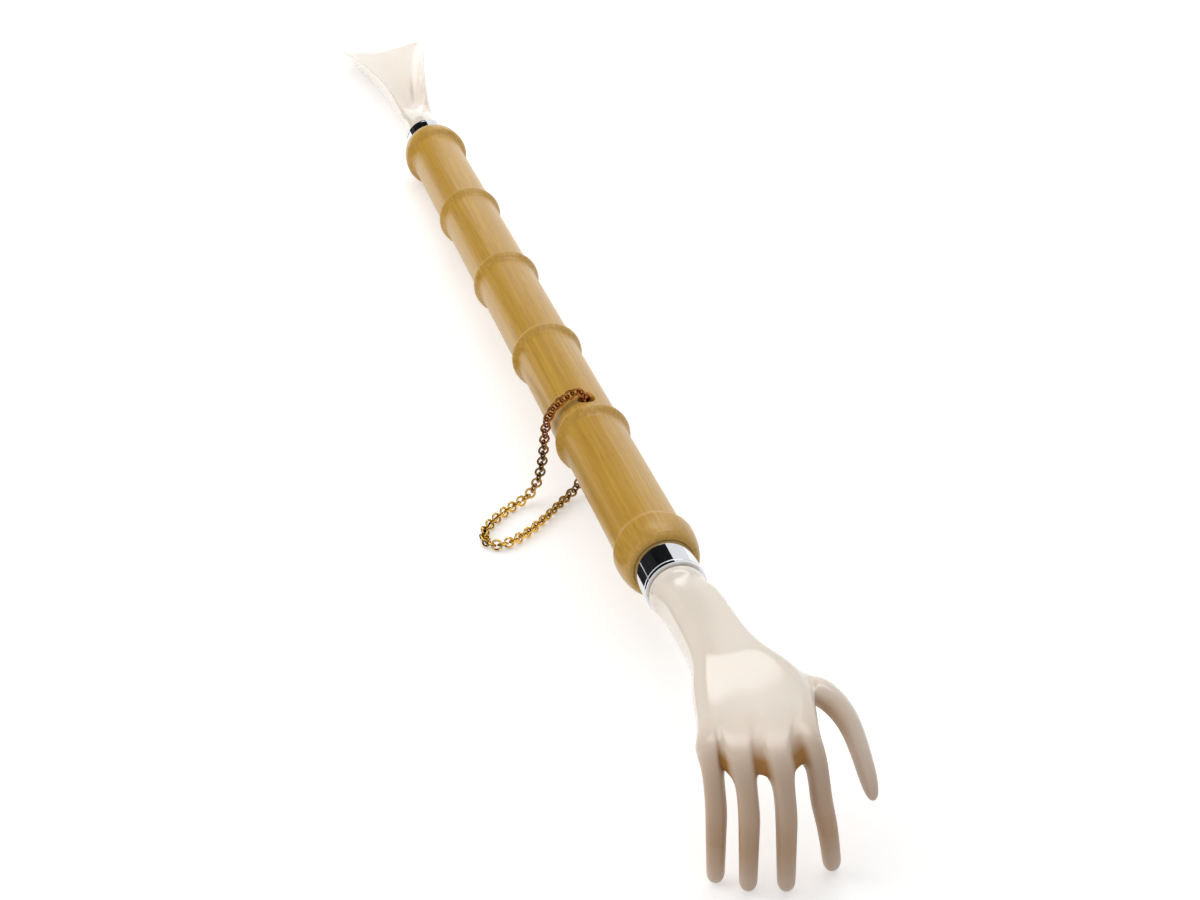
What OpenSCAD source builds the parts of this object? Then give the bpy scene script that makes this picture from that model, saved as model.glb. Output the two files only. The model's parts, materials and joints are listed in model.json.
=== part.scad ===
// Back scratcher and shoehorn on one turned handle, with a hanging chain.
// Lengths are in millimetres. The origin is the centre of the cross hole, on the handle's axis, and +X runs
// towards the hand. The tool lies as it rests: on its fingertips and on the ring at the shoehorn's end.

/* [Handle] */
// Diameter of the handle between its rings
body_d = 20; // [18:0.5:24]
// Height of the four middle rings above the body
ring_h = 1.6; // [0.8:0.1:2.4]
// Height of the ring by the shoehorn, on which the tool lies
far_ring_h = 2.2; // [1.2:0.1:3]
// Height of the ring by the hand
near_ring_h = 1.6; // [0.8:0.1:2.4]
// Reach of a ring's slope to each side of its crest
ring_reach = 3.8; // [2.5:0.1:5]
// Distance from the first ring, by the shoehorn, to the second
ring_gap_1 = 66; // [45:1:80]
// Distance from the second ring to the third
ring_gap_2 = 62; // [45:1:80]
// Distance from the third ring to the fourth
ring_gap_3 = 60; // [45:1:80]
// Distance from the fourth ring to the fifth
ring_gap_4 = 58; // [45:1:80]
// Distance from the fifth ring to the sixth, by the hand
ring_gap_5 = 65; // [45:1:80]
// Distance from the cross hole to the fifth ring
hole_to_ring = 8; // [7:0.5:14]
// Diameter of the cross hole
hole_d = 5; // [4.6:0.1:6]
// Width of the rounded edge at each mouth of the cross hole
hole_edge = 0.8; // [0.3:0.1:1]
// Length of the rounded end beyond each end ring
end_len = 9.6; // [8:0.2:14]
// Diameter of the handle's end faces
end_face_d = 18; // [18:0.1:20]

/* [Ferrules] */
// Outside diameter of a ferrule
ferrule_d = 17; // [16:0.1:17.4]
// Length of a ferrule that shows
ferrule_len = 11; // [8:0.5:16]
// Depth that a ferrule sits in the handle's end
ferrule_seat = 3; // [2:0.5:6]
// Depth of the groove behind the rolled bead at the free rim
bead_h = 0.15; // [0.1:0.05:0.3]
// Length of the rolled bead
bead_len = 0.9; // [0.7:0.1:2]
// Length of the groove behind the bead
groove_len = 0.7; // [0.6:0.1:1.6]

/* [Tangs] */
// Diameter of the tang on the hand and on the shoehorn
tang_d = 10.6; // [8:0.2:12]
// Length of a tang inside the handle, past the ferrule
tang_len = 22; // [12:1:30]
// Room in the socket beyond the end of a tang
socket_room = 1; // [0.5:0.5:3]
// Gap left for glue round a tang and between seated faces
glue_gap = 0.1; // [0.05:0.05:0.2]

/* [Hand] */
// Diameter of the collar where the hand meets its ferrule
collar_d = 15.6; // [14:0.1:16]
// Length of the collar
collar_len = 4.5; // [3:0.5:7]
// Length from the collar's face to the front of the middle finger
hand_len = 86; // [76:1:96]
// Half the width of the palm at the knuckles
palm_half = 15; // [13:0.5:17]
// Thickness of the palm
palm_t = 9; // [7:0.5:11]
// Thickness of the web between the fingers
web_t = 3.2; // [2:0.2:5]
// Diameter of a finger at the knuckle
knuckle_d = 5.2; // [4.6:0.1:6.4]
// Diameter of a fingertip
fingertip_d = 4.4; // [3.8:0.1:5]
// Radius of the bend at the knuckles
knuckle_bend = 8; // [6:0.5:10]
// Depth of the fingertips below the handle's axis
finger_drop = 33; // [28:0.5:38]
// Diameter of the thumb at its root
thumb_d = 6.2; // [5.6:0.1:7.2]

/* [Shoehorn] */
// Diameter of the shoehorn's neck at its ferrule
horn_d = 14.4; // [13:0.1:15.6]
// Length of the shoehorn from its ferrule to its tip
horn_len = 129; // [110:1:150]
// Length of the rounded tip, past the widest place
horn_tip = 17; // [12:1:24]
// Half the width of the blade at its widest
blade_half = 19.6; // [16:0.2:23]
// Height of the trough's rim above the handle's axis where it is highest
rim_rise = 9.6; // [8:0.2:11]
// Height of the rim above the blade's underside at the widest place
blade_rise = 9.2; // [7:0.2:10]
// Depth of the blade's underside below the handle's axis at the widest place
blade_drop = 4; // [3:0.1:4.2]
// Thickness of the blade along its middle
blade_t = 2; // [1.8:0.1:2.6]
// Width of the blade's rim
blade_edge = 1.1; // [0.8:0.1:1.6]

/* [Chain] */
// Outside diameter of a link
link_od = 3.5; // [3.2:0.1:3.8]
// Diameter of the link's wire
wire_d = 0.68; // [0.5:0.02:0.74]
// Play between two linked wires
link_play = 0.22; // [0.18:0.01:0.26]
// Opening of the seam in the joining link
seam = 0.12; // [0.05:0.01:0.2]
// Gap between the chain and the wood where it passes over the handle
chain_gap = 0.4; // [0.3:0.1:0.8]
// Gap between the chain and the ground
lie_gap = 0.05; // [0.05:0.05:0.2]
// Extra distance from the wood where the chain leaves the handle's side
chain_flare = 0.7; // [0.5:0.1:1]
// Radius of the chain's bend at the mouth of the cross hole
mouth_bend = 3.3; // [3.2:0.1:4]

/* [Hidden] */
$fn = 64;

wood = "#B8923F";
chrome = "#C9CCD2";
ivory = "#F0E4D6";
gold = "#C98F2A";

body_r = body_d / 2;
far_ring_r = body_r + far_ring_h;
near_ring_r = body_r + near_ring_h;
end_face_r = end_face_d / 2;
ring_5_x = hole_to_ring;
ring_6_x = ring_5_x + ring_gap_5;
ring_4_x = ring_5_x - ring_gap_4;
ring_3_x = ring_4_x - ring_gap_3;
ring_2_x = ring_3_x - ring_gap_2;
ring_1_x = ring_2_x - ring_gap_1;
near_end = ring_6_x + end_len;
far_end = ring_1_x - end_len;
hand_face = near_end + ferrule_len + glue_gap;
horn_face = far_end - ferrule_len - glue_gap;
tang_r = tang_d / 2;
socket_r = tang_r + glue_gap;
socket_depth = tang_len + socket_room;

// The lie of the tool: a line under the first ring and the longest fingertip is the ground.
front_x = hand_face + hand_len;
fingertip_r = fingertip_d / 2;
rest_tilt = atan((finger_drop - far_ring_r) / (front_x - fingertip_r - ring_1_x));
ground_z = ring_1_x * sin(rest_tilt) - far_ring_r * cos(rest_tilt);
function ground_at(x) = (ground_z - x * sin(rest_tilt)) / cos(rest_tilt);
function rest(p) = [
    p.x * cos(rest_tilt) - p.z * sin(rest_tilt),
    p.y,
    p.x * sin(rest_tilt) + p.z * cos(rest_tilt)];

module at_rest() {
    rotate([0, -rest_tilt, 0]) children();
}

module turned(profile) {
    rotate([0, 90, 0]) rotate_extrude() polygon(profile);
}

// Handle: one profile of radius and place, turned about the axis.
bump_steps = 10;
end_steps = 8;
function bump(x, h, from, to) = [for (i = [from * bump_steps / 2 : to * bump_steps / 2])
    let (u = 2 * i / bump_steps)
    [body_r + h * (1 + cos(180 * u)) / 2, x + ring_reach * u]];
function round_end(x, ring_r, side) = [for (i = [1 : end_steps])
    let (a = 90 * i / end_steps)
    [end_face_r + (ring_r - end_face_r) * cos(a), x + side * end_len * sin(a)]];
function backwards(list) = [for (i = [len(list) - 1 : -1 : 0]) list[i]];

handle_profile = concat(
    [[0, far_end]],
    backwards(round_end(ring_1_x, far_ring_r, -1)),
    bump(ring_1_x, far_ring_h, 0, 1),
    bump(ring_2_x, ring_h, -1, 1),
    bump(ring_3_x, ring_h, -1, 1),
    bump(ring_4_x, ring_h, -1, 1),
    bump(ring_5_x, ring_h, -1, 1),
    bump(ring_6_x, near_ring_h, -1, 0),
    round_end(ring_6_x, near_ring_r, 1),
    [[0, near_end]]);

module end_socket() {
    cylinder(r = socket_r, h = socket_depth);
    cylinder(r = ferrule_d / 2 + glue_gap, h = ferrule_seat);
}

// The mouth of the hole is flared by a turned quarter round, which starts below the wood's curved surface.
module hole_mouth() {
    mouth_r = hole_d / 2 + hole_edge;
    lip_z = sqrt(body_r * body_r - hole_d * hole_d / 4) - hole_edge;
    translate([0, 0, lip_z]) rotate_extrude() difference() {
        square([mouth_r, body_r]);
        translate([mouth_r, 0]) circle(r = hole_edge);
    }
}

module handle() {
    color(wood) at_rest() difference() {
        turned(handle_profile);
        translate([near_end, 0, 0]) rotate([0, -90, 0]) end_socket();
        translate([far_end, 0, 0]) rotate([0, 90, 0]) end_socket();
        cylinder(d = hole_d, h = 2 * body_d, center = true);
        hole_mouth();
        mirror([0, 0, 1]) hole_mouth();
    }
}

// Ferrule: a plated collar with a groove and a rolled bead at its free rim, from its seat to its free end.
module ferrule() {
    outer = ferrule_d / 2;
    waist = outer - bead_h;
    full = ferrule_len + ferrule_seat - glue_gap;
    bead = full - bead_len;
    turned([
        [socket_r, 0], [outer, 0],
        [outer, bead - groove_len], [waist, bead - groove_len + bead_h],
        [waist, bead - bead_h], [outer, bead],
        [outer, full - bead_h], [waist, full], [socket_r, full]]);
}

module hand_ferrule() {
    color(chrome) at_rest() translate([near_end - ferrule_seat + glue_gap, 0, 0]) ferrule();
}

module shoehorn_ferrule() {
    color(chrome) at_rest() translate([far_end + ferrule_seat - glue_gap, 0, 0]) mirror([1, 0, 0]) ferrule();
}

// Smooth values between the rows of a list of stations.
function row_at(rows, u) =
    let (last = len(rows) - 1, i = min(floor(u), last - 1), t = u - i)
    let (a = rows[max(i - 1, 0)], b = rows[i], c = rows[i + 1], d = rows[min(i + 2, last)])
    b + t * (c - a) / 2 + t * t * (a - 2.5 * b + 2 * c - d / 2) + t * t * t * (1.5 * (b - c) + (d - a) / 2);
function dense(rows, steps) = [for (i = [0 : (len(rows) - 1) * steps]) row_at(rows, i / steps)];

station_steps = 4;

// A closed skin over rings that have the same number of points.
module loft(rings) {
    sides = len(rings[0]);
    top = (len(rings) - 1) * sides;
    walls = [for (i = [0 : len(rings) - 2], j = [0 : sides - 1])
        let (k = (j + 1) % sides, low = i * sides, high = low + sides)
        each [[low + j, high + k, low + k], [low + j, high + j, high + k]]];
    polyhedron([for (ring = rings) each ring],
        concat([[for (j = [0 : sides - 1]) j]], walls, [[for (j = [sides - 1 : -1 : 0]) top + j]]));
}

function tang_ring(x, angles) = [for (a = angles) [x, tang_r * cos(a), tang_r * sin(a)]];

// Hand: stations along the neck and the palm hold the place of the middle, the half width, the half
// thickness, how square the section is, and its lean.
hand_sides = 32;
hand_angles = [for (j = [0 : hand_sides - 1]) 360 * j / hand_sides];
collar_r = collar_d / 2;
palm_mid = palm_t / 2;
hand_rows = [
    [hand_face, 0, 0, collar_r, collar_r, 2, 0],
    [hand_face + collar_len, 0.1, 0, collar_r, collar_r, 2, 0],
    [hand_face + 0.12 * hand_len, 0.8, 0, 0.93 * collar_r, 0.85 * collar_r, 2.8, 0],
    [hand_face + 0.26 * hand_len, 1, 0, 0.96 * collar_r, 0.78 * collar_r, 3.2, 0],
    [hand_face + 0.39 * hand_len, 2, 0.3, 1.12 * collar_r, 1.2 * palm_mid, 2.8, 0],
    [hand_face + 0.52 * hand_len, 3, 0.8, 0.86 * palm_half, 1.1 * palm_mid, 2.6, 4],
    [hand_face + 0.66 * hand_len, 2.2, 0.5, 0.97 * palm_half, palm_mid, 2.6, 10],
    [hand_face + 0.79 * hand_len, 0.4, -1, 0.97 * palm_half, 0.8 * palm_mid, 2.6, 24],
    [hand_face + 0.87 * hand_len, -0.4, -3.8, 0.92 * palm_half, web_t / 2, 2.6, 46]];
function bulge(v, square) = sign(v) * pow(abs(v), 2 / square);
function hand_ring(r) = [for (a = hand_angles)
    let (across = r[3] * bulge(cos(a), r[5]), up = r[4] * bulge(sin(a), r[5]))
    [r.x + up * sin(r[6]), r.y + across, r.z + up * cos(r[6])]];

// Fingers: the place of the knuckle and of the tip across the hand, how far the finger stands behind the
// middle finger, and how far it bows to the thumb's side.
finger_rows = [[-13.6, -13.5, 7, 0], [-7, -6.8, 2.4, 0], [1.2, 1.8, 0, 0], [10.9, 14.6, 3.6, 1]];
bend_steps = 3;
root_len = 12;
root_gather = 0.85;
root_sink = 0.6;
function finger_path(f) =
    let (r = knuckle_d / 2, x = front_x - f[2] - r, bend_x = x - knuckle_bend, top = palm_mid - r - root_sink)
    let (tip_z = ground_at(x) + fingertip_r / cos(rest_tilt))
    concat(
        [[bend_x - root_len, root_gather * f[0], top - root_sink, r - root_sink]],
        [for (i = [0 : bend_steps])
            let (a = 90 * i / bend_steps)
            [bend_x + knuckle_bend * sin(a), f[0], top - knuckle_bend * (1 - cos(a)), r]],
        [[x, (f[0] + f[1]) / 2 + f[3], (top - knuckle_bend + tip_z) / 2, (r + fingertip_r) / 2],
         [x, f[1], tip_z, fingertip_r]]);
thumb_path = [
    [hand_face + 0.46 * hand_len, 0.75 * palm_half, 0.6, thumb_d / 2],
    [hand_face + 0.58 * hand_len, 1.3 * palm_half, 0, thumb_d / 2],
    [hand_face + 0.69 * hand_len, 1.58 * palm_half, -2.6, 0.45 * thumb_d],
    [hand_face + 0.80 * hand_len, 1.68 * palm_half, -7, 0.42 * thumb_d],
    [hand_face + 0.89 * hand_len, 1.67 * palm_half, -12.4, 0.38 * thumb_d]];
// The web fills the fork between the thumb and the palm.
thumb_web = [
    [hand_face + 0.61 * hand_len, 0.92 * palm_half, 0, web_t / 2],
    [hand_face + 0.735 * hand_len, 1.22 * palm_half, -1.6, web_t / 2],
    [hand_face + 0.735 * hand_len, 1.6 * palm_half, -4.2, web_t / 2],
    [hand_face + 0.61 * hand_len, 1.4 * palm_half, -0.6, web_t / 2]];

limb_sides = 18;

module limb(path) {
    for (i = [0 : len(path) - 2]) hull() {
        for (p = [path[i], path[i + 1]]) translate([p[0], p[1], p[2]]) sphere(r = p[3], $fn = limb_sides);
    }
}

module hand() {
    tang_end = near_end - tang_len;
    color(ivory) at_rest() union() {
        loft(concat(
            [tang_ring(tang_end, hand_angles), tang_ring(hand_face, hand_angles)],
            [for (r = dense(hand_rows, station_steps)) hand_ring(r)]));
        for (f = finger_rows) limb(finger_path(f));
        limb(thumb_path);
        hull() for (p = thumb_web) translate([p[0], p[1], p[2]]) sphere(r = p[3], $fn = limb_sides);
    }
}

// Shoehorn: a station holds its place along the tool. Then come the half width, the rim's height, the
// height of the middle and the half angle of the arc, first for the underside and then for the top. The top
// is a crown on the neck and sinks to a trough.
horn_steps = 12;
horn_r = horn_d / 2;
neck_edge = 0.3;
blade_slope = 3.9;
widest_x = horn_face - horn_len + horn_tip;
flare_len = horn_face - widest_x;
function horn_row(f, half, rim, low, under, edge, thick, over) =
    [horn_face - f * flare_len, half, rim, low, under, half - edge, rim + neck_edge, low + thick, over];
function blade_row(f, half, rim, under, thick, over) =
    horn_row(f, half, rim, -blade_drop - blade_slope * (1 - f), under, blade_edge, thick, over);
horn_rows = [
    horn_row(0, horn_r, 0, -horn_r, 90, 0, horn_d, 90),
    horn_row(0.1, horn_r, 0, -horn_r, 90, 0, horn_d, 90),
    horn_row(0.19, 0.86 * horn_r, 0.54 * horn_r, -horn_r, 122, 0.6 * blade_edge, 0.89 * horn_d, 68),
    horn_row(0.28, 0.96 * horn_r, 0.82 * horn_r, -0.96 * horn_r, 110, blade_edge, 0.66 * horn_d, 70),
    blade_row(0.37, 1.13 * horn_r, 0.85 * rim_rise, 94, 2.2 * blade_t, 74),
    blade_row(0.46, 0.49 * blade_half, 0.98 * rim_rise, 86, 1.3 * blade_t, 75),
    blade_row(0.59, 0.615 * blade_half, rim_rise, 80, 1.1 * blade_t, 73),
    blade_row(0.725, 0.75 * blade_half, 0.98 * rim_rise, 75, blade_t, 69),
    blade_row(0.86, 0.88 * blade_half, 0.79 * rim_rise, 68, blade_t, 64),
    blade_row(1, blade_half, blade_rise - blade_drop, 60, blade_t, 57)];
function horn_arc(x, half, rim, middle, angle) = [for (i = [-horn_steps : horn_steps])
    let (a = angle * i / horn_steps, sag = (cos(a) - cos(angle)) / (1 - cos(angle)))
    [x, half * sin(a) / sin(angle), rim + (middle - rim) * sag]];
function horn_ring(r) = concat(
    backwards(horn_arc(r[0], r[1], r[2], r[3], r[4])),
    horn_arc(r[0], r[5], r[6], r[7], r[8]));
// Past the widest place the blade keeps its section, is trimmed to a round end and thins out.
function trimmed(rim, middle, angle, trim) =
    middle + (rim - middle) * (1 - cos(trim)) / (1 - cos(angle));
function tip_row(a) =
    let (w = horn_rows[len(horn_rows) - 1], thinner = (blade_t - blade_edge) * (1 - cos(a)))
    let (under = asin(sin(w[4]) * cos(a)), over = asin(sin(w[8]) * cos(a)))
    [w[0] - horn_tip * sin(a),
        w[1] * cos(a), trimmed(w[2], w[3], w[4], under), w[3], under,
        w[5] * cos(a), trimmed(w[6], w[7], w[8], over) - thinner, w[7] - thinner, over];
tip_steps = 6;
tip_first = 10;
tip_last = 85;
tip_rows = [for (i = [0 : tip_steps]) tip_row(tip_first + (tip_last - tip_first) * i / tip_steps)];
// The tang's rings take their points from the same two rows as the blade's, with a gap at the sides.
half_turn = 88;
horn_angles = [for (i = [horn_steps : -1 : -horn_steps]) -90 + half_turn * i / horn_steps,
    for (i = [-horn_steps : horn_steps]) 90 - half_turn * i / horn_steps];

module shoehorn() {
    tang_end = far_end + tang_len;
    color(ivory) at_rest() loft(backwards(concat(
        [tang_ring(tang_end, horn_angles), tang_ring(horn_face, horn_angles)],
        [for (r = dense(horn_rows, station_steps)) horn_ring(r)],
        [for (r = tip_rows) horn_ring(r)])));
}

// Chain: the middle line of the closed loop, from the bottom of the cross hole up through it, over the
// handle's side, down to the ground, round the loop and back under the handle.
link_r = link_od / 2;
over_r = body_r + link_r + chain_gap;
lie_z = ground_z + link_r + lie_gap;
hole_route = [for (f = [-0.7, -0.35, 0, 0.35, 0.7]) rest([0, 0, f * body_r])];
mouth_route = [for (i = [0 : 3])
    let (a = 10 + 80 * i / 3)
    rest([0, mouth_bend * (cos(a) - 1), over_r + mouth_bend * (sin(a) - 1)])];
side_route = [for (a = [36, 54, 72, 90])
    let (r = over_r + chain_flare * a / 90)
    rest([0, -r * sin(a), r * cos(a)])];
side_y = -over_r - chain_flare;
// Height above the ground and distance out from the handle's side on the way down.
drop_route = [for (p = [[0.2, 0.5, 17], [0.3, 1.3, 11], [0.5, 2.9, 5.2], [1.3, 6, 1.2]])
    [p.x, side_y - p.y, lie_z + p.z]];
loop_route = [for (p = [[3.4, -23.4], [6.6, -27.6], [10, -31.4], [14.2, -34.8], [18.8, -36.3], [22.6, -34.2],
    [22.7, -29.8], [20.6, -25.6], [17.4, -21.3], [13.2, -16.8], [8.7, -12.4], [4.6, -8.4]])
    [p.x, p.y, lie_z]];
rise_route = [for (p = [[1.4, -4.6, 0.7], [0.1, -1.6, 3.8], [0, -0.2, 8.4]]) [p.x, p.y, lie_z + p.z]];
route = concat(hole_route, mouth_route, side_route, drop_route, loop_route, rise_route);

span_steps = 12;
route_count = len(route);
function route_point(i) = route[(i + route_count) % route_count];
function route_at(i, t) = row_at([for (k = [-1 : 2]) route_point(i + k)], 1 + t);
path = [for (i = [0 : route_count - 1], k = [0 : span_steps - 1]) route_at(i, k / span_steps)];
path_count = len(path);
function path_point(i) = path[i % path_count];
function path_step(i) = norm(path_point(i + 1) - path_point(i));
path_run = [for (i = 0, s = 0; i <= path_count; s = s + path_step(i), i = i + 1) s];
loop_len = path_run[path_count];
link_count = 2 * round(loop_len / (link_od - 2 * wire_d - link_play) / 2);
pitch = loop_len / link_count;
along = [for (axis = [0 : 2]) [for (i = [0 : path_count]) [path_run[i], path_point(i)[axis]]]];
function loop_point(s) =
    let (w = s - loop_len * floor(s / loop_len))
    [lookup(w, along[0]), lookup(w, along[1]), lookup(w, along[2])];
function unit(v) = v / norm(v);
link_place = [for (k = [0 : link_count - 1]) loop_point(k * pitch)];
link_way = [for (k = [0 : link_count - 1])
    unit(loop_point((k + 0.5) * pitch) - loop_point((k - 0.5) * pitch))];

// Each link keeps the turn of the one before it, plus a quarter turn. What is left over after one round of
// the loop is shared out among the links.
function square_to(n, way) = unit(n - (n * way) * way);
link_side = [for (k = 0, n = square_to([1, 0, 0], link_way[0]); k <= link_count;
    k = k + 1, n = square_to(n, link_way[k % link_count])) n];
left_over = let (a = link_side[0], b = link_side[link_count])
    atan2(cross(a, b) * link_way[0], a * b);

module link(k, opening = 0) {
    way = link_way[k];
    turn = 45 + 90 * k - left_over * k / link_count;
    flat = link_side[k] * cos(turn) + cross(way, link_side[k]) * sin(turn);
    side = cross(flat, way);
    place = link_place[k];
    multmatrix([
        [way.x, side.x, flat.x, place.x], [way.y, side.y, flat.y, place.y],
        [way.z, side.z, flat.z, place.z], [0, 0, 0, 1]])
        rotate([0, 0, 90 + opening / 2]) rotate_extrude(angle = 360 - opening)
            translate([link_r - wire_d / 2, 0]) circle(d = wire_d, $fn = 24);
}

// The chain folds where both of its runs change from one link to the next on one line.
function fold_link(i) = round(path_run[i * span_steps] / pitch - 0.5);
first_drop = len(hole_route) + len(mouth_route) + len(side_route);
first_loop = first_drop + len(drop_route);
out_fold = [fold_link(first_drop), fold_link(first_loop), fold_link(first_loop + 2)];
back_fold = [fold_link(first_loop + 11), fold_link(first_loop + 9), fold_link(first_loop + 7)];
last_in_hole = fold_link(len(hole_route));
joining_link = round((out_fold[2] + back_fold[2]) / 2);
seam_angle = 2 * asin(seam / (2 * (link_r - wire_d / 2)));

module links(first, last) {
    color(gold) for (k = [first : last]) link(k);
}

module chain_in_hole() { links(0, last_in_hole); }
module chain_over_handle() { links(last_in_hole + 1, out_fold[0]); }
module chain_drop() { links(out_fold[0] + 1, out_fold[1]); }
module chain_outer_run() { links(out_fold[1] + 1, out_fold[2]); }
module chain_loop_end() {
    links(out_fold[2] + 1, joining_link - 1);
    links(joining_link + 1, back_fold[2]);
}
module chain_joining_link() { color(gold) link(joining_link, seam_angle); }
module chain_inner_run() { links(back_fold[2] + 1, back_fold[1]); }
module chain_return() { links(back_fold[1] + 1, back_fold[0]); }
module chain_under_handle() { links(back_fold[0] + 1, link_count - 1); }

handle();
hand_ferrule();
shoehorn_ferrule();
hand();
shoehorn();
chain_in_hole();
chain_over_handle();
chain_under_handle();
chain_drop();
chain_return();
chain_outer_run();
chain_inner_run();
chain_loop_end();
chain_joining_link();
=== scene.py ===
# %% [markdown]
# # A back scratcher with a shoehorn at its other end
# A turned wooden handle joins a moulded ivory hand to a moulded shoehorn. Two chrome ferrules cover the
# joints, and a fine gold chain runs through a cross hole in the handle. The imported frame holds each
# rigid piece at its real size, so this lesson starts from it. The turned and wound pieces keep their
# shape and get a real finish. The two mouldings are modelled again as smooth skins.

# %% Load the frame
import json
import math
from collections import namedtuple

import bmesh
import bpy
from mathutils import Matrix, Vector


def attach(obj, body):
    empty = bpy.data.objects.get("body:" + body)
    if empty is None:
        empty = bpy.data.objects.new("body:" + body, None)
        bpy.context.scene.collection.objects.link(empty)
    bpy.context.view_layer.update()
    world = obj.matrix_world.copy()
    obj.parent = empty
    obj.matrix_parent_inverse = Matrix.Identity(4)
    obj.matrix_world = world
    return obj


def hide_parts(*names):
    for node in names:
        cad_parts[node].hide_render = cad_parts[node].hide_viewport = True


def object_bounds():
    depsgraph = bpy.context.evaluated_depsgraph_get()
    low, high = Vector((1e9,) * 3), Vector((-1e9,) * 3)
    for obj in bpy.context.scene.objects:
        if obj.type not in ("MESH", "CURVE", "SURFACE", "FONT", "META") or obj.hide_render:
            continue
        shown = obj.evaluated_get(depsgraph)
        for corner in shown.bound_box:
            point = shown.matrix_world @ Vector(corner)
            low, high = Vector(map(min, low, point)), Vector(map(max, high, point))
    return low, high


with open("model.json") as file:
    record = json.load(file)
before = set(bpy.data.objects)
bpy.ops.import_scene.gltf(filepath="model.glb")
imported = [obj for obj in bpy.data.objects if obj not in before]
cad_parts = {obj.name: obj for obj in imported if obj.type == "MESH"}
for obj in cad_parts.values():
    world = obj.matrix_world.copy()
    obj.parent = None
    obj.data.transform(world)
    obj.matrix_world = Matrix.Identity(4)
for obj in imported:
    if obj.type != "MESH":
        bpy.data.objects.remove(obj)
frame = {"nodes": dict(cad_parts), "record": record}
cad_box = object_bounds()
nodes = frame["nodes"]
MM = 0.001
floor_height = cad_box[0][2]
print("frame:", len(nodes), "nodes, lowest point", round(floor_height / MM, 2), "mm")

# %% [markdown]
# ## The tool's own axis
# The tool lies on its fingertips and on the ring by the shoehorn, so its axis leans a little. The record's
# cross hole is square to that axis. Working along the tool is easier than working along the world, so one
# matrix is kept that turns tool places, in millimetres, into world places, in metres.

# %% Find the lean and where the mouldings start
tool_up = Vector(frame["record"]["mounts"][0]["axis"]).normalized()
tool_across = Vector((0, 1, 0))
tool_along = tool_across.cross(tool_up)
lean = math.atan2(-tool_up.x, tool_up.z)
tool_turn = Matrix((tool_along, tool_across, tool_up)).transposed().to_4x4()
tool_to_world = tool_turn @ Matrix.Scale(MM, 4)


def reach_along(name):
    """Where a piece of the frame starts and ends along the tool, in millimetres."""
    places = [v.co.dot(tool_along) / MM for v in nodes[name].data.vertices]
    return min(places), max(places)


glue_line = 0.1
hand_face = reach_along("hand_ferrule")[1] + glue_line
horn_face = reach_along("shoehorn_ferrule")[0] - glue_line
hand_tang, hand_front = reach_along("hand")
horn_tip, horn_tang = reach_along("shoehorn")
print("lean", round(math.degrees(lean), 3), "degrees")
print("hand from", round(hand_face, 2), "to", round(hand_front, 2))
print("shoehorn from", round(horn_face, 2), "to", round(horn_tip, 2))

# %% [markdown]
# ## The camera
# The photograph looks along the tool from the hand's end, a little from the side and well from above. The
# long lens and the distance were found from how the rings shrink with distance. A camera is placed by
# walking back from an aim point along a direction given as two angles.

# %% Place the camera
aim = Vector((14.1, 0.5, 0)) * MM
camera_distance = 0.5934
camera_azimuth = math.radians(74.95)
camera_elevation = math.radians(31.884)
back = Vector((math.sin(camera_azimuth) * math.cos(camera_elevation),
               -math.cos(camera_azimuth) * math.cos(camera_elevation),
               math.sin(camera_elevation)))
camera = bpy.data.objects.new("camera", bpy.data.cameras.new("camera"))
camera.data.lens = 60
camera.data.sensor_width = 36
camera.location = aim + camera_distance * back
camera.rotation_euler = (-back).to_track_quat("-Z", "Y").to_euler()
bpy.context.scene.collection.objects.link(camera)
bpy.context.scene.camera = camera
print("camera at", [round(c, 4) for c in camera.location])

# %% [markdown]
# ## Small helpers for materials
# Colours are written as they look on a screen, as hex values, and one function turns them to the linear
# numbers that the shader wants. One more function adds a node with its settings and its links. Every
# pattern scale below is one over a size in metres, so a size can be read off in millimetres.

# %% Helpers for colours and nodes
def ink(hex_value):
    """A linear colour from a hex value such as C09A50."""
    parts = [int(hex_value[i:i + 2], 16) / 255 for i in (0, 2, 4)]
    linear = [c / 12.92 if c <= 0.04045 else ((c + 0.055) / 1.055) ** 2.4 for c in parts]
    return (*linear, 1)


def node(tree, kind, inputs=None, **settings):
    """Adds a node, sets its properties, and fills its inputs with values or links."""
    made = tree.nodes.new(kind)
    for name, value in settings.items():
        setattr(made, name, value)
    for socket, value in (inputs or {}).items():
        if isinstance(value, bpy.types.NodeSocket):
            tree.links.new(value, made.inputs[socket])
        else:
            made.inputs[socket].default_value = value
    return made


print("wood colour in linear numbers:", [round(c, 3) for c in ink("CEA240")])

# %% Helpers for a material
# A Mix node has sockets of its own for every kind of data. These mix colours: three inputs, one output.
FACTOR, COLOUR_A, COLOUR_B, MIXED = 0, 6, 7, 2


def new_material(name):
    """A node material, with its tree, its shader, and places along the tool as coordinates."""
    material = bpy.data.materials.new(name)
    material.use_nodes = True
    tree = material.node_tree
    shader = tree.nodes["Principled BSDF"]
    place = node(tree, "ShaderNodeTexCoord")
    along = node(tree, "ShaderNodeMapping", {"Vector": place.outputs["Object"],
                                             "Rotation": (0, lean, 0)})
    return material, tree, shader, along.outputs["Vector"]


def per_mm(*sizes):
    """Scale factors that make one step of a pattern as long as these sizes in millimetres."""
    return tuple(1 / (size * MM) for size in sizes)


print("a pattern of 2 mm has the scale", [round(scale) for scale in per_mm(2)])

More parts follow.
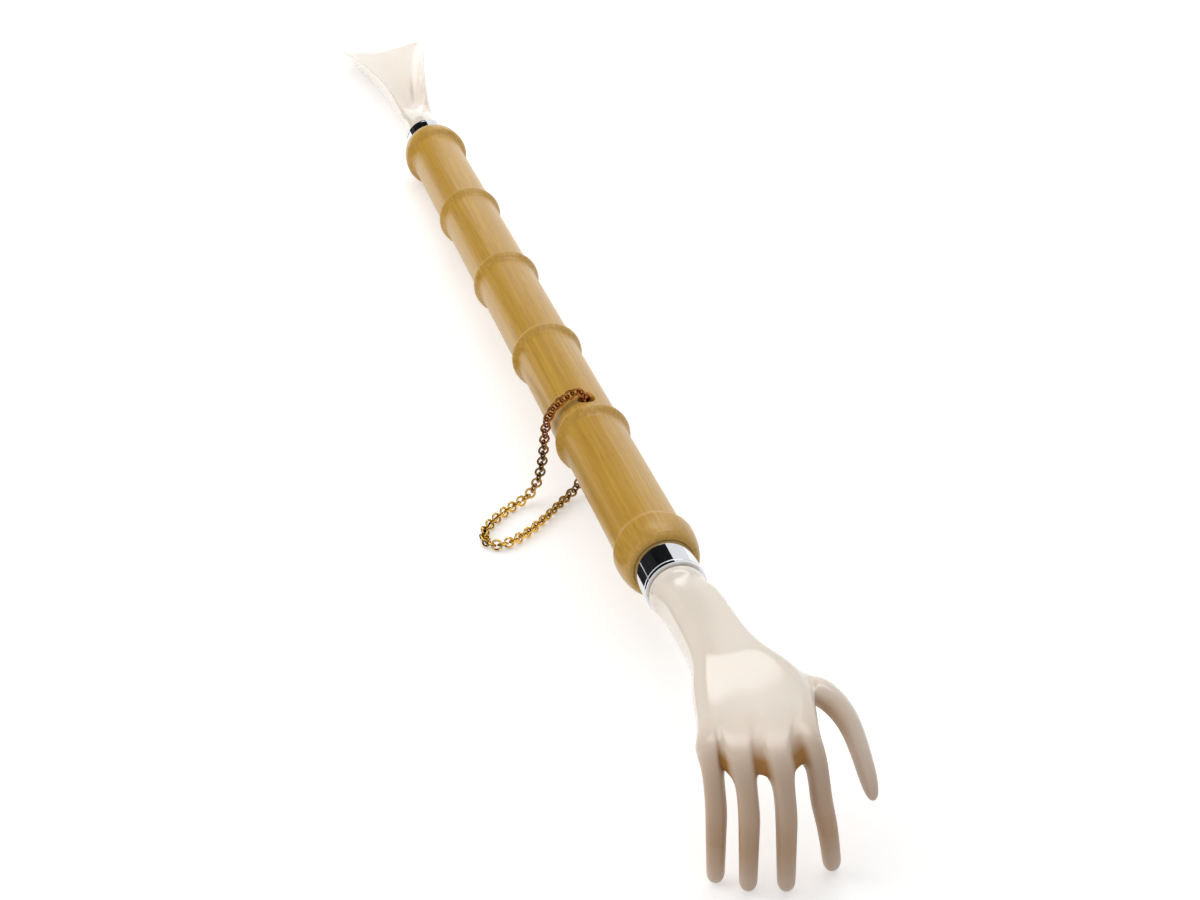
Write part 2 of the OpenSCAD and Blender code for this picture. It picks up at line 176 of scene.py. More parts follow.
# %% [markdown]
# ## Lacquered wood
# The handle is a pale hardwood stained honey brown and lacquered. Under the lacquer run fine straight
# fibres with short dark pores, and the stain is a little cloudy. The lacquer gives the broad soft sheen.
# A picture of wood could be wrapped round the handle, but it would show a seam. Noise has none: stretched
# along the handle it makes the fibres, and finer noise that is cut off hard makes the pores.

# %% Lacquered wood: fibres, clouds and pores
# Real fibres and pores are finer than this. They are drawn as coarse as they need to show.
wood, tree, shader, along = new_material("honey_stained_hardwood_lacquered")
fibres_at = node(tree, "ShaderNodeVectorMath", {0: along, 1: per_mm(42, 0.9, 0.9)},
                 operation="MULTIPLY")
fibres = node(tree, "ShaderNodeTexNoise", {"Vector": fibres_at.outputs[0], "Scale": 1, "Detail": 4,
                                           "Roughness": 0.6, "Distortion": 0.15})
clouds_at = node(tree, "ShaderNodeVectorMath", {0: along, 1: per_mm(40, 10, 10)},
                 operation="MULTIPLY")
clouds = node(tree, "ShaderNodeTexNoise", {"Vector": clouds_at.outputs[0], "Scale": 1, "Detail": 2})
pores_at = node(tree, "ShaderNodeVectorMath", {0: along, 1: per_mm(5.5, 0.55, 0.55)},
                operation="MULTIPLY")
pores = node(tree, "ShaderNodeTexNoise", {"Vector": pores_at.outputs[0], "Scale": 1, "Detail": 1})
fibre_mask = node(tree, "ShaderNodeMapRange", {"Value": fibres.outputs["Fac"],
                                               "From Min": 0.3, "From Max": 0.7})
cloud_mask = node(tree, "ShaderNodeMapRange", {"Value": clouds.outputs["Fac"],
                                               "From Min": 0.3, "From Max": 0.7,
                                               "To Min": 0, "To Max": 0.55})
pore_mask = node(tree, "ShaderNodeMapRange", {"Value": pores.outputs["Fac"],
                                              "From Min": 0.62, "From Max": 0.75,
                                              "To Min": 0, "To Max": 0.28})
print("wood patterns: fibres, clouds and pores")

# %% Lacquered wood: colour and sheen
stain = node(tree, "ShaderNodeMix", {FACTOR: fibre_mask.outputs[0], COLOUR_A: ink("B0832A"),
                                     COLOUR_B: ink("CEA240")}, data_type="RGBA")
cloudy = node(tree, "ShaderNodeMix", {FACTOR: cloud_mask.outputs[0], COLOUR_A: stain.outputs[MIXED],
                                      COLOUR_B: ink("BF9032")}, data_type="RGBA")
pored = node(tree, "ShaderNodeMix", {FACTOR: pore_mask.outputs[0], COLOUR_A: cloudy.outputs[MIXED],
                                     COLOUR_B: ink("7E5418")}, data_type="RGBA")
sheen_spread = node(tree, "ShaderNodeMapRange", {"Value": fibres.outputs["Fac"],
                                                 "To Min": 0.32, "To Max": 0.44})
relief = node(tree, "ShaderNodeBump", {"Height": fibres.outputs["Fac"], "Strength": 0.05,
                                       "Distance": 0.1 * MM})
tree.links.new(pored.outputs[MIXED], shader.inputs["Base Color"])
tree.links.new(sheen_spread.outputs[0], shader.inputs["Roughness"])
tree.links.new(relief.outputs[0], shader.inputs["Normal"])
shader.inputs["IOR"].default_value = 1.5
shader.inputs["Coat Weight"].default_value = 0.2
shader.inputs["Coat Roughness"].default_value = 0.2
print("material:", wood.name)

# %% [markdown]
# ## Chrome
# The ferrules are drawn brass tube with bright chrome plating. Chrome is nearly a mirror, so its look is
# what stands around it: a white room and the dark cards that are set up below. An even mirror would do,
# but faint wipe marks round the tube keep it from looking like a computer's.

# %% Chrome material
# Real wipe marks are finer than this. They are drawn as coarse as they need to show.
chrome, tree, shader, along = new_material("chrome_plate_polished")
wipes_at = node(tree, "ShaderNodeVectorMath", {0: along, 1: per_mm(0.5, 7, 7)}, operation="MULTIPLY")
wipes = node(tree, "ShaderNodeTexNoise", {"Vector": wipes_at.outputs[0], "Scale": 1, "Detail": 3})
wipe_blur = node(tree, "ShaderNodeMapRange", {"Value": wipes.outputs["Fac"],
                                              "From Min": 0.4, "From Max": 0.8,
                                              "To Min": 0.03, "To Max": 0.13})
tree.links.new(wipe_blur.outputs[0], shader.inputs["Roughness"])
shader.inputs["Base Color"].default_value = ink("DADCE0")
shader.inputs["Metallic"].default_value = 1
print("material:", chrome.name)

# %% [markdown]
# ## Ivory plastic
# The hand and the shoehorn are injection moulded in ivory coloured plastic with a soft gloss. Light soaks
# in a little way, and where the plastic is thin, as between the fingers, it comes out amber. Light could
# be sent right through, but that renders slowly. So subsurface scattering gives the soft depth, and the
# amber is painted into the colour: a mesh attribute marks the webs, knuckles, fingers and thumb, and there
# the colour is painted amber brown, as painted glow through the thin webs and as painted shade on the
# webs, knuckles and fingers. The same mark takes the gloss off the fingers, which are rubbed dull by use.
# A few dark specks lie in the plastic, as in most cheap mouldings.

# %% Ivory plastic: colour
ivory, tree, shader, along = new_material("ivory_plastic_moulded")
painted_amber_shade = node(tree, "ShaderNodeAttribute", attribute_name="painted_amber_shade")
flow_at = node(tree, "ShaderNodeVectorMath", {0: along, 1: per_mm(30, 14, 14)}, operation="MULTIPLY")
flow = node(tree, "ShaderNodeTexNoise", {"Vector": flow_at.outputs[0], "Scale": 1, "Detail": 3})
specks_at = node(tree, "ShaderNodeVectorMath", {0: along, 1: per_mm(3, 3, 3)}, operation="MULTIPLY")
specks = node(tree, "ShaderNodeTexNoise", {"Vector": specks_at.outputs[0], "Scale": 1, "Detail": 0})
speck_mask = node(tree, "ShaderNodeMapRange", {"Value": specks.outputs["Fac"],
                                               "From Min": 0.9, "From Max": 0.915,
                                               "To Min": 0, "To Max": 0.4})
milk = node(tree, "ShaderNodeMix", {FACTOR: flow.outputs["Fac"], COLOUR_A: ink("EDE0D1"),
                                    COLOUR_B: ink("F1E7DB")}, data_type="RGBA")
# Painted glow and painted shade: amber brown where the mesh attribute is set.
amber = node(tree, "ShaderNodeMix", {FACTOR: painted_amber_shade.outputs["Fac"], COLOUR_A: milk.outputs[MIXED],
                                     COLOUR_B: ink("A2702E")}, data_type="RGBA")
speckled = node(tree, "ShaderNodeMix", {FACTOR: speck_mask.outputs[0], COLOUR_A: amber.outputs[MIXED],
                                        COLOUR_B: ink("6E5A48")}, data_type="RGBA")
tree.links.new(speckled.outputs[MIXED], shader.inputs["Base Color"])
print("ivory colours: milk, amber and specks")

# %% Ivory plastic: gloss and depth
gloss = node(tree, "ShaderNodeMapRange", {"Value": flow.outputs["Fac"], "To Min": 0.1, "To Max": 0.16})
rubbed = node(tree, "ShaderNodeMapRange", {"Value": painted_amber_shade.outputs["Fac"], "To Min": 0, "To Max": 0.4})
dulled = node(tree, "ShaderNodeMath", {0: gloss.outputs[0], 1: rubbed.outputs[0]}, operation="ADD")
clear_skin = node(tree, "ShaderNodeMapRange", {"Value": painted_amber_shade.outputs["Fac"], "From Max": 0.3,
                                               "To Min": 0.4, "To Max": 0})
tree.links.new(dulled.outputs[0], shader.inputs["Roughness"])
tree.links.new(clear_skin.outputs[0], shader.inputs["Coat Weight"])
shader.inputs["Coat Roughness"].default_value = 0.1
shader.inputs["IOR"].default_value = 1.49
shader.inputs["Subsurface Weight"].default_value = 0.3
shader.inputs["Subsurface Radius"].default_value = (1, 0.6, 0.35)
shader.inputs["Subsurface Scale"].default_value = 2 * MM
print("material:", ivory.name)

# %% [markdown]
# ## Gold chain
# The chain is brass wire with a thin gold wash. Polished links mirror each other, so they look both very
# bright and very dark. Where one link touches the next, shade is painted into the colour as near black.
# It could be painted link by link, but an Ambient Occlusion node finds all those narrow places by itself.
# Near the handle the colour is painted darker as shade: dark brown off the wood, and reddish brown where
# the chain lies on the wood.

# %% Gold chain: wash, and painted shade near the handle
gold, tree, shader, along = new_material("gold_washed_brass_wire")
wear_at = node(tree, "ShaderNodeVectorMath", {0: along, 1: per_mm(1.1, 1.1, 1.1)}, operation="MULTIPLY")
wear = node(tree, "ShaderNodeTexNoise", {"Vector": wear_at.outputs[0], "Scale": 1, "Detail": 3})
wear_mask = node(tree, "ShaderNodeMapRange", {"Value": wear.outputs["Fac"],
                                              "From Min": 0.42, "From Max": 0.7})
washed = node(tree, "ShaderNodeMix", {FACTOR: wear_mask.outputs[0], COLOUR_A: ink("FCD470"),
                                      COLOUR_B: ink("CE9A3E")}, data_type="RGBA")
# Painted shade: darker near the handle, reddish brown where the chain lies on the wood.
from_axis = node(tree, "ShaderNodeVectorMath", {0: along, 1: (0, 1, 1)}, operation="MULTIPLY")
reach = node(tree, "ShaderNodeVectorMath", {0: from_axis.outputs[0]}, operation="LENGTH")
handle_shade_mask = node(tree, "ShaderNodeMapRange", {"Value": reach.outputs["Value"],
                                                 "From Min": 20 * MM, "From Max": 30 * MM,
                                                 "To Min": 0.85, "To Max": 0})
off_handle = node(tree, "ShaderNodeMapRange", {"Value": reach.outputs["Value"],
                                               "From Min": 13 * MM, "From Max": 15 * MM})
handle_shade = node(tree, "ShaderNodeMix", {FACTOR: off_handle.outputs[0], COLOUR_A: ink("A04810"),
                                       COLOUR_B: ink("5C3A1C")}, data_type="RGBA")
shaded_near_handle = node(tree, "ShaderNodeMix", {FACTOR: handle_shade_mask.outputs[0],
                                         COLOUR_A: washed.outputs[MIXED],
                                         COLOUR_B: handle_shade.outputs[MIXED]}, data_type="RGBA")
print("gold colours: wash and tarnish")

# %% Gold chain: painted shade in the crevices, and polish
# Painted shade: near black where one link touches the next.
crevice = node(tree, "ShaderNodeAmbientOcclusion", {"Distance": 1.4 * MM}, samples=6)
crevice_shade_mask = node(tree, "ShaderNodeMapRange", {"Value": crevice.outputs["AO"],
                                              "From Min": 0.2, "From Max": 0.65,
                                              "To Min": 1, "To Max": 0})
crevice_shaded = node(tree, "ShaderNodeMix", {FACTOR: crevice_shade_mask.outputs[0], COLOUR_A: shaded_near_handle.outputs[MIXED],
                                     COLOUR_B: ink("241208")}, data_type="RGBA")
dull = node(tree, "ShaderNodeMapRange", {"Value": wear.outputs["Fac"], "To Min": 0.12, "To Max": 0.3})
tree.links.new(crevice_shaded.outputs[MIXED], shader.inputs["Base Color"])
tree.links.new(dull.outputs[0], shader.inputs["Roughness"])
shader.inputs["Metallic"].default_value = 1
print("material:", gold.name)

# %% [markdown]
# ## Finish the turned and wound pieces
# The handle, the ferrules and the links are exact turned and bent shapes in the frame, so they stay. Each
# only needs its finish in its material slot.

# %% Put the finishes on the frame's nodes
finishes = {"handle": wood, "hand_ferrule": chrome, "shoehorn_ferrule": chrome}
for name, piece in nodes.items():
    finish = finishes.get(name, gold if name.startswith("chain") else ivory)
    for slot in piece.material_slots:
        slot.material = finish
print("finished:", len(nodes), "nodes")

# %% [markdown]
# ## A skin drawn from ring to ring
# Both mouldings start as a round tang and neck and change shape on their way. They could be sculpted, but
# then no size could be set by a number. A modeller draws such a skin by extruding a ring of edges again
# and again and giving every ring its own section. Sixteen points are enough, eight above and eight below,
# because a Subdivision Surface rounds them. The rounding pulls a ring inwards by a known share, so round
# sections are drawn that much larger. All sizes of the mouldings are in millimetres.

# %% Helpers for rings of edges
RING = 16
HALF = RING // 2
ring_shrink = (2 + math.cos(2 * math.pi / RING)) / 3
ring_angles = [math.pi - (i + 0.5) * 2 * math.pi / RING for i in range(RING)]
round_section = [(math.cos(a) / ring_shrink, math.sin(a) / ring_shrink) for a in ring_angles]


def place_ring(ring, places):
    """Moves the points of a ring to places along the tool."""
    for vertex, place in zip(ring, places):
        vertex.co = place


def first_ring(bm, places):
    """A closed ring of edges."""
    ring = bmesh.ops.create_circle(bm, segments=RING, radius=1)["verts"]
    place_ring(ring, places)
    return ring


def next_ring(bm, ring, places):
    """Extrudes a ring of edges and gives the new ring its places."""
    edges = [bm.edges.get((ring[i], ring[i - 1])) for i in range(RING)]
    made = set(bmesh.ops.extrude_edge_only(bm, edges=edges)["geom"])
    fresh = [next(e.other_vert(v) for e in v.link_edges if e.other_vert(v) in made) for v in ring]
    place_ring(fresh, places)
    return fresh


def close_ring(bm, ring):
    """Closes a ring with a strip of faces between its upper and its lower row."""
    edges = [bm.edges.get((ring[i], ring[i + 1])) for i in range(RING - 1) if i != HALF - 1]
    bmesh.ops.bridge_loops(bm, edges=edges)


print("a ring has", RING, "points and shrinks to", round(ring_shrink, 3))

# %% Helpers for a whole moulding
tang_radius = 5.3
tang_step = 0.2  # from the tang's root to the face of the moulding
skin_levels = 3


def tang(bm, end, root):
    """The round tang inside the handle, closed at its end. Gives the ring at its root."""
    section = [(tang_radius * x, tang_radius * y) for x, y in round_section]
    ring = first_ring(bm, [(end, y, z) for y, z in section])
    close_ring(bm, ring)
    return next_ring(bm, ring, [(root, y, z) for y, z in section])


def finished_skin(bm, name, material):
    """Turns a cage into an object in the world, with a Subdivision Surface."""
    bmesh.ops.recalc_face_normals(bm, faces=bm.faces)
    bmesh.ops.transform(bm, matrix=tool_to_world, verts=bm.verts)
    mesh = bpy.data.meshes.new(name)
    bm.to_mesh(mesh)
    bm.free()
    mesh.shade_smooth()
    mesh.materials.append(material)
    piece = bpy.data.objects.new(name, mesh)
    bpy.context.scene.collection.objects.link(piece)
    smooth = piece.modifiers.new("smooth_skin", "SUBSURF")
    smooth.levels = skin_levels
    smooth.render_levels = skin_levels
    return piece


print("tangs:", 2 * tang_radius, "mm thick")

# %% [markdown]
# ## The hand: collar, neck and palm
# The moulding starts as a round collar nearly as wide as the ferrule. Beyond it the neck is boxy, with a
# flat top between two soft edges. It slopes down a little as it widens to the back of the hand, and that
# slope mirrors a white card as a bright band. Each station mixes a round and a boxy section, so one list
# of points serves the whole way from collar to palm.

# %% Hand: stations and sections
# Each station: distance from the ferrule, its middle across and up, half width, half thickness, how boxy
# it is from 0 to 1, and how many degrees it leans over.
hand_stations = [
    (0, 0, 0, 7.2, 7.2, 0, 0), (0.7, 0, 0, 7.95, 7.95, 0, 0), (3.4, 0, 0, 7.95, 7.95, 0, 0),
    (4.8, 0.2, 0, 7.4, 7.05, 0.25, 0), (9, 1.0, 0, 7.4, 6.75, 0.8, 0), (13, 1.5, 0, 7.7, 6.5, 1, 0),
    (22, 1.6, 0.1, 8.0, 6.3, 1, 0), (31, 1.9, 0.4, 8.5, 6.0, 1, 0),
    (39.5, 2.4, 0.75, 10.4, 5.85, 0.95, 2), (46.5, 4.2, 0.4, 14.8, 5.0, 0.9, 5),
    (59, 2.2, 0, 14.9, 4.35, 0.85, 10)]
# The boxy section, across and up, for a half width and a half thickness of 1.
upper_row = [(-1, 0.2), (-0.95, 0.7), (-0.62, 0.93), (-0.2, 0.98),
             (0.2, 1.02), (0.55, 1.05), (0.84, 1.0), (1, 0.3)]
lower_row = [(1, -0.3), (0.84, -0.88), (0.5, -1), (0.17, -1),
             (-0.17, -1), (-0.5, -1), (-0.84, -0.88), (-1, -0.3)]
boxy_section = upper_row + lower_row


def hand_section(station):
    """The sixteen places of one station of the hand."""
    distance, middle, height, half_width, half_thick, boxy, tilt = station
    tilt = math.radians(tilt)
    places = []
    for (round_x, round_y), (box_x, box_y) in zip(round_section, boxy_section):
        across = half_width * (round_x + boxy * (box_x - round_x))
        up = half_thick * (round_y + boxy * (box_y - round_y))
        places.append((hand_face + distance + up * math.sin(tilt), middle + across,
                       height + up * math.cos(tilt)))
    return places


print("hand:", len(hand_stations), "stations up to the palm")

# %% Hand: collar, neck and palm
bm = bmesh.new()
edge_weight = bm.edges.layers.float.new("crease_edge")
# A mark for painted amber shade and glow, set on the webs, knuckles, fingers and thumb.
painted_shade_mark = bm.verts.layers.float.new("painted_amber_shade")
rings = [tang(bm, hand_tang, hand_face - tang_step)]
for station in hand_stations:
    rings.append(next_ring(bm, rings[-1], hand_section(station)))
print("hand cage:", len(bm.verts), "points up to the palm")

# %% [markdown]
# ## The hand: knuckles
# The fingers stand on a curved line and bend down at the knuckles. Each finger is a square tube in the
# cage, so a ring of the palm near the knuckles is just the corners of four such squares, side by side. The
# squares turn with the curved line, which leaves a narrow web between each two.

# %% Hand: where the fingers stand
knuckle_radius = 2.6
knuckle_bend = 11  # the radius on which the fingers bend down
knuckle_height = 0.9
knuckle_bulge = 0.35  # how far the skin of a knuckle stands out in front of its finger
# Each finger: its place across at the knuckle and at the tip, how far it stands behind the longest, its
# turn in degrees, and how far it bows to the thumb's side.
Finger = namedtuple("Finger", "knuckle tip behind turn bow")
fingers = [Finger(-13.5, -13.4, 7.0, 36, 0), Finger(-7, -6.8, 2.4, 27, 0),
           Finger(1.2, 1.8, 0.0, -4, 0), Finger(10.9, 14.6, 3.6, -20, 0.4)]


def limb_axes(way, across):
    """The two directions of a limb's square section: to its side and out of its back."""
    side = (across - across.dot(way) * way).normalized()
    return side, way.cross(side)


def finger_side(finger):
    """The direction along the knuckles at a finger."""
    turn = math.radians(finger.turn)
    return Vector((math.sin(turn), math.cos(turn), 0))


def finger_column(finger):
    """Where the straight part of a finger stands along the tool."""
    return hand_front - finger.behind - knuckle_radius - knuckle_bulge


print("finger columns at", [round(finger_column(finger), 1) for finger in fingers])

# %% Hand: rings through the knuckles
# Each ring: how far the fingers have bent, in degrees, and the half sizes of their squares.
knuckle_steps = ((8, 2.9, 3.2), (28, 2.7, 3.0), (48, 2.6, 2.8))
knuckle_angles = [math.radians(step[0]) for step in knuckle_steps]


def knuckle_point(finger, angle):
    """A point on a finger's bend."""
    return Vector((finger_column(finger) - knuckle_bend * (1 - math.sin(angle)), finger.knuckle,
                   knuckle_height - knuckle_bend * (1 - math.cos(angle))))


def knuckle_ring(angle, half_across, half_out):
    """The sixteen places of a ring through all four knuckles."""
    way = Vector((math.cos(angle), 0, -math.sin(angle)))
    upper, lower = [], []
    for finger in fingers:
        middle = knuckle_point(finger, angle)
        side, out = limb_axes(way, finger_side(finger))
        for step in (-half_across, half_across):
            upper.append(middle + step * side + half_out * out)
            lower.append(middle + step * side - half_out * out)
    return upper + lower[::-1]


for angle, (_, half_across, half_out) in zip(knuckle_angles, knuckle_steps):
    rings.append(next_ring(bm, rings[-1], knuckle_ring(angle, half_across, half_out)))
close_ring(bm, rings[-1])
print("knuckles:", len(rings), "rings up to the front")

# %% [markdown]
# ## The hand: webs between the fingers
# The plastic is thin where one finger meets the next. Two cuts along each web give points that can sink
# between the knuckles, on the back of the hand and on the palm side, and these are marked for painted
# amber shade.

# %% Hand: cut the webs
# A web starts at every second point of the upper row and of the lower row. It is cut in the palm's last
# ring and in the three rings of the knuckles.
web_columns = (1, 3, 5, HALF + 1, HALF + 3, HALF + 5)
web_edges = [bm.edges.get((ring[i], ring[i + 1])) for ring in rings[-4:] for i in web_columns]
ring_places = [[vertex.co.to_tuple() for vertex in ring] for ring in rings]
bmesh.ops.subdivide_edges(bm, edges=web_edges, cuts=2)
# The cut hands out new points for old ones, so the rings are looked up again by their places.
point_at = {vertex.co.to_tuple(): vertex for vertex in bm.verts}
rings = [[point_at[place] for place in places] for places in ring_places]
old_points = set(sum(rings, []))


def points_between(first, second):
    """The two new points on what was one edge."""
    for start in [edge.other_vert(first) for edge in first.link_edges]:
        for end in [edge.other_vert(start) for edge in start.link_edges]:
            if end is not first and second in [edge.other_vert(end) for edge in end.link_edges]:
                if start not in old_points and end not in old_points:
                    return start, end


print("webs:", len(web_columns) // 2, "between the fingers")

# %% Hand: sink the webs and mark where amber shade is painted
# Each knuckle ring: how far the web sinks, how far it is set back, how much amber shade is painted on it,
# and how much on the knuckles beside it.
web_shapes = ((0.4, 0, 0.35, 0.22), (1.9, 0.3, 1, 0.45), (2.6, 1.6, 1, 0.55))
web_margin = 0.12  # the share of a web's width that lies beside each knuckle
palm_side_sink = 0.35  # the share of the sinking on the palm side
for ring, angle, web_shape in zip(rings[-3:], knuckle_angles, web_shapes):
    sink, set_back, web_shade, knuckle_shade = web_shape
    way = Vector((math.cos(angle), 0, -math.sin(angle)))
    out = Vector((math.sin(angle), 0, math.cos(angle)))
    # Painted shade on the knuckles, and painted amber shade and glow on the webs.
    for vertex in ring:
        vertex[painted_shade_mark] = knuckle_shade
    for i in web_columns:
        first, second = ring[i], ring[i + 1]
        sunk = (-sink if i < HALF else palm_side_sink * sink) * out - set_back * way
        for point, share in zip(points_between(first, second), (web_margin, 1 - web_margin)):
            point.co = first.co.lerp(second.co, share) + sunk
            point[painted_shade_mark] = web_shade
print("deepest web:", max(shape[0] for shape in web_shapes), "mm")

# %% [markdown]
# ## The hand: fingers and thumb
# Tubes could be joined to the palm with a Boolean, but their roots would be sharp. So a limb grows out of
# one face of the cage. The face is extruded from station to station, and its four corners are set square
# to the limb each time. The four fingers grow from the front, down to the floor, and the thumb grows from
# the side of the palm.

# %% Hand: how a limb grows
upper_share = 0.5  # an inner mark counts half on the upper edge


def grow_limb(bm, face, stations, across):
    """Extrudes a face through stations of a middle, two half thicknesses and two marks of painted shade.
    """
    points = [face.calc_center_median()] + [Vector(station[0]) for station in stations]
    way = (points[1] - points[0]).normalized()
    for i, (_, half_side, half_out, (outer, inner)) in enumerate(stations, 1):
        face = bmesh.ops.extrude_discrete_faces(bm, faces=[face])["faces"][0]
        side, out = limb_axes(way, across)
        corners = [v.co - face.calc_center_median() for v in face.verts]
        signs = [(math.copysign(1, c.dot(side)), math.copysign(1, c.dot(out))) for c in corners]
        way = (points[min(i + 1, len(stations))] - points[i - 1]).normalized()
        side, out = limb_axes(way, across)
        for vertex, (to_side, to_out) in zip(face.verts, signs):
            vertex.co = points[i] + to_side * half_side * side + to_out * half_out * out
            share = (to_out > 0) * (upper_share if to_side > 0 else 1)
            vertex[painted_shade_mark] = outer + (inner - outer) * share


front = rings[-1]
finger_roots = [bm.faces.get((front[i], front[i + 1], front[RING - 2 - i], front[RING - 1 - i]))
                for i in range(0, HALF, 2)]
print("roots for", len(finger_roots), "fingers")

# %% Hand: fingers
square_shrink = 0.93  # a square tube of the cage rounds to this share of its width
tip_radius = 2.2
tip_length = 2.2
tip_lift = 0.14  # the share of the tip's length that its last face keeps off the floor
tip_taper = 0.6
# Along the straight part of a finger: how far down, and how much painted shade it gets there.
straight_steps = ((0, 0.62), (0.22, 0.72), (0.46, 0.74), (0.7, 0.64), (0.9, 0.5), (1, 0.42))
straight_top = knuckle_height - knuckle_bend
tip_half = tip_taper * tip_radius
for finger, face in zip(fingers, finger_roots):
    column = finger_column(finger)
    floor_there = (floor_height / MM - column * math.sin(lean)) / math.cos(lean)
    tip_start = floor_there + tip_length
    stations = []
    for t, finger_shade in straight_steps:
        half = (knuckle_radius + t * (tip_radius - knuckle_radius)) / square_shrink
        across = finger.knuckle + t * (finger.tip - finger.knuckle)
        across += finger.bow * math.sin(math.pi * t)
        middle = (column, across, straight_top + t * (tip_start - straight_top))
        stations.append((middle, half, half, (finger_shade, finger_shade)))
    tip_end = (column, finger.tip, floor_there + tip_lift * tip_length)
    stations.append((tip_end, tip_half, tip_half, (finger_shade, finger_shade)))
    grow_limb(bm, face, stations, finger_side(finger))
print("fingers:", len(fingers), "on the floor")

# %% Hand: thumb
palm_start, palm_end = rings[-5], rings[-4]
thumb_root = bm.faces.get((palm_start[HALF - 1], palm_start[HALF], palm_end[HALF], palm_end[HALF - 1]))
# Each station: distance from the ferrule, place across, height, half thickness, half width, and the marks
# of painted shade on its outer and on its inner side.
thumb_stations = [(51.2, 19.4, 0.1, 3.5, 4.6, (0, 0.4)), (56.5, 22.9, -1.2, 3.1, 3.8, (0, 1)),
                  (62.5, 24.6, -3.8, 2.9, 3.0, (0.08, 1)), (69, 24.8, -7.4, 2.7, 2.6, (0.18, 0.6)),
                  (75, 24.8, -11.6, 2.5, 2.4, (0.35, 0.45)), (79, 24.7, -14.8, 1.3, 1.3, (0.45, 0.45))]
thumb_path = [((hand_face + distance, across, height), half_thick, half_wide, shade_marks)
              for distance, across, height, half_thick, half_wide, shade_marks in thumb_stations]
grow_limb(bm, thumb_root, thumb_path, Vector((0, 0, 1)))
print("thumb: reaches", thumb_stations[-1][0], "mm from the ferrule")

# %% [markdown]
# ## The hand: soft edges
# The two edges along the top of the neck melt away when the skin is rounded. More rings close together
# would hold them, but an edge weight on the cage does so with no new points.

# %% Hand: soft edges and the finished piece
neck_start = 4  # the first ring beyond the collar
neck_edges = (2, HALF - 3)  # the points of a ring that lie on the two edges
neck_weights = (0.25, 0.45, 0.5, 0.5, 0.4, 0.15)
for near, far, weight in zip(rings[neck_start:], rings[neck_start + 1:], neck_weights):
    for column in neck_edges:
        bm.edges.get((near[column], far[column]))[edge_weight] = weight
hand = finished_skin(bm, "moulded_hand", ivory)
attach(hand, "tool")
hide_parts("hand")
print("hand:", len(hand.data.polygons), "cage faces")

# %% [markdown]
# ## The shoehorn
# The shoehorn leaves its ferrule as a round neck. A trough opens in its top, gets deeper and wider, and
# ends in a thin broad blade with a round end. A bent sheet with a Solidify modifier could make the blade,
# but not the solid neck. So the same rings of sixteen points draw both, eight for the inside of the trough
# and eight for the outside. Each of the two is an arc.

# %% Shoehorn: sections
neck_radius = 7.2
neck_distances = (0, 1, 10)
# Each station: distance from the ferrule, then half width, rim height, height of the middle and half
# angle of the arc, for the outside and for the inside.
horn_stations = [
    (21.3, (6.2, 3.9, -7.2, 122), (5.5, 4.2, 5.6, 68)),
    (31.4, (6.9, 5.9, -6.9, 110), (5.8, 6.2, 2.6, 70)),
    (41.4, (8.15, 8.2, -6.45, 94), (7.05, 8.5, -2.05, 74)),
    (51.5, (9.6, 9.4, -6.1, 86), (8.5, 9.7, -3.5, 75)),
    (66.1, (12.05, 9.6, -5.6, 80), (10.95, 9.9, -3.4, 73)),
    (81.2, (14.7, 9.4, -5.1, 75), (13.6, 9.7, -3.1, 69)),
    (96.3, (17.25, 7.6, -4.55, 68), (16.15, 7.9, -2.55, 64)),
    (112, (19.6, 5.2, -4, 60), (18.5, 5.5, -2, 57))]


def arc_row(half_width, rim, middle, half_angle):
    """Eight places across and up along an arc, from left to right."""
    end = math.radians(half_angle)
    row = []
    for i in range(HALF):
        angle = end * (2 * i / (HALF - 1) - 1)
        sag = (math.cos(angle) - math.cos(end)) / (1 - math.cos(end))
        row.append((half_width * math.sin(angle) / math.sin(end), rim + (middle - rim) * sag))
    return row


def horn_section(distance, outside, inside):
    """The sixteen places of one station: the inside from left to right and the outside back."""
    row = arc_row(*inside) + arc_row(*outside)[::-1]
    return [(horn_face - distance, y, z) for y, z in row]


print("shoehorn:", len(neck_distances) + len(horn_stations), "stations")

# %% Shoehorn: neck and blade
bm = bmesh.new()
edge_weight = bm.edges.layers.float.new("crease_edge")
ring = tang(bm, horn_tang, horn_face + tang_step)
for distance in neck_distances:
    ring = next_ring(bm, ring, [(horn_face - distance, neck_radius * x, neck_radius * y)
                                for x, y in round_section])
horn_rings = [ring]
for station in horn_stations:
    horn_rings.append(next_ring(bm, horn_rings[-1], horn_section(*station)))
print("shoehorn cage:", len(bm.verts), "points up to the round end")

# %% Shoehorn: round end
end_thinning = 0.9
end_angles = [math.radians(angle) for angle in (18, 36, 52, 66, 78, 86)]
widest, outside, inside = horn_stations[-1]
end_length = horn_face - widest - horn_tip


def trimmed(arc, angle, thinner):
    """An arc cut narrower for the round end, and set lower by how much the blade thins out."""
    half_width, rim, middle, half_angle = arc
    full = math.radians(half_angle)
    cut = math.asin(math.sin(full) * math.cos(angle))
    lift = (rim - middle) * (1 - math.cos(cut)) / (1 - math.cos(full))
    return (half_width * math.cos(angle), middle + lift - thinner, middle - thinner,
            math.degrees(cut))


for angle in end_angles:
    thinner = end_thinning * (1 - math.cos(angle))
    section = horn_section(widest + end_length * math.sin(angle),
                           trimmed(outside, angle, 0), trimmed(inside, angle, thinner))
    horn_rings.append(next_ring(bm, horn_rings[-1], section))
close_ring(bm, horn_rings[-1])
print("round end:", round(end_length, 1), "mm long")

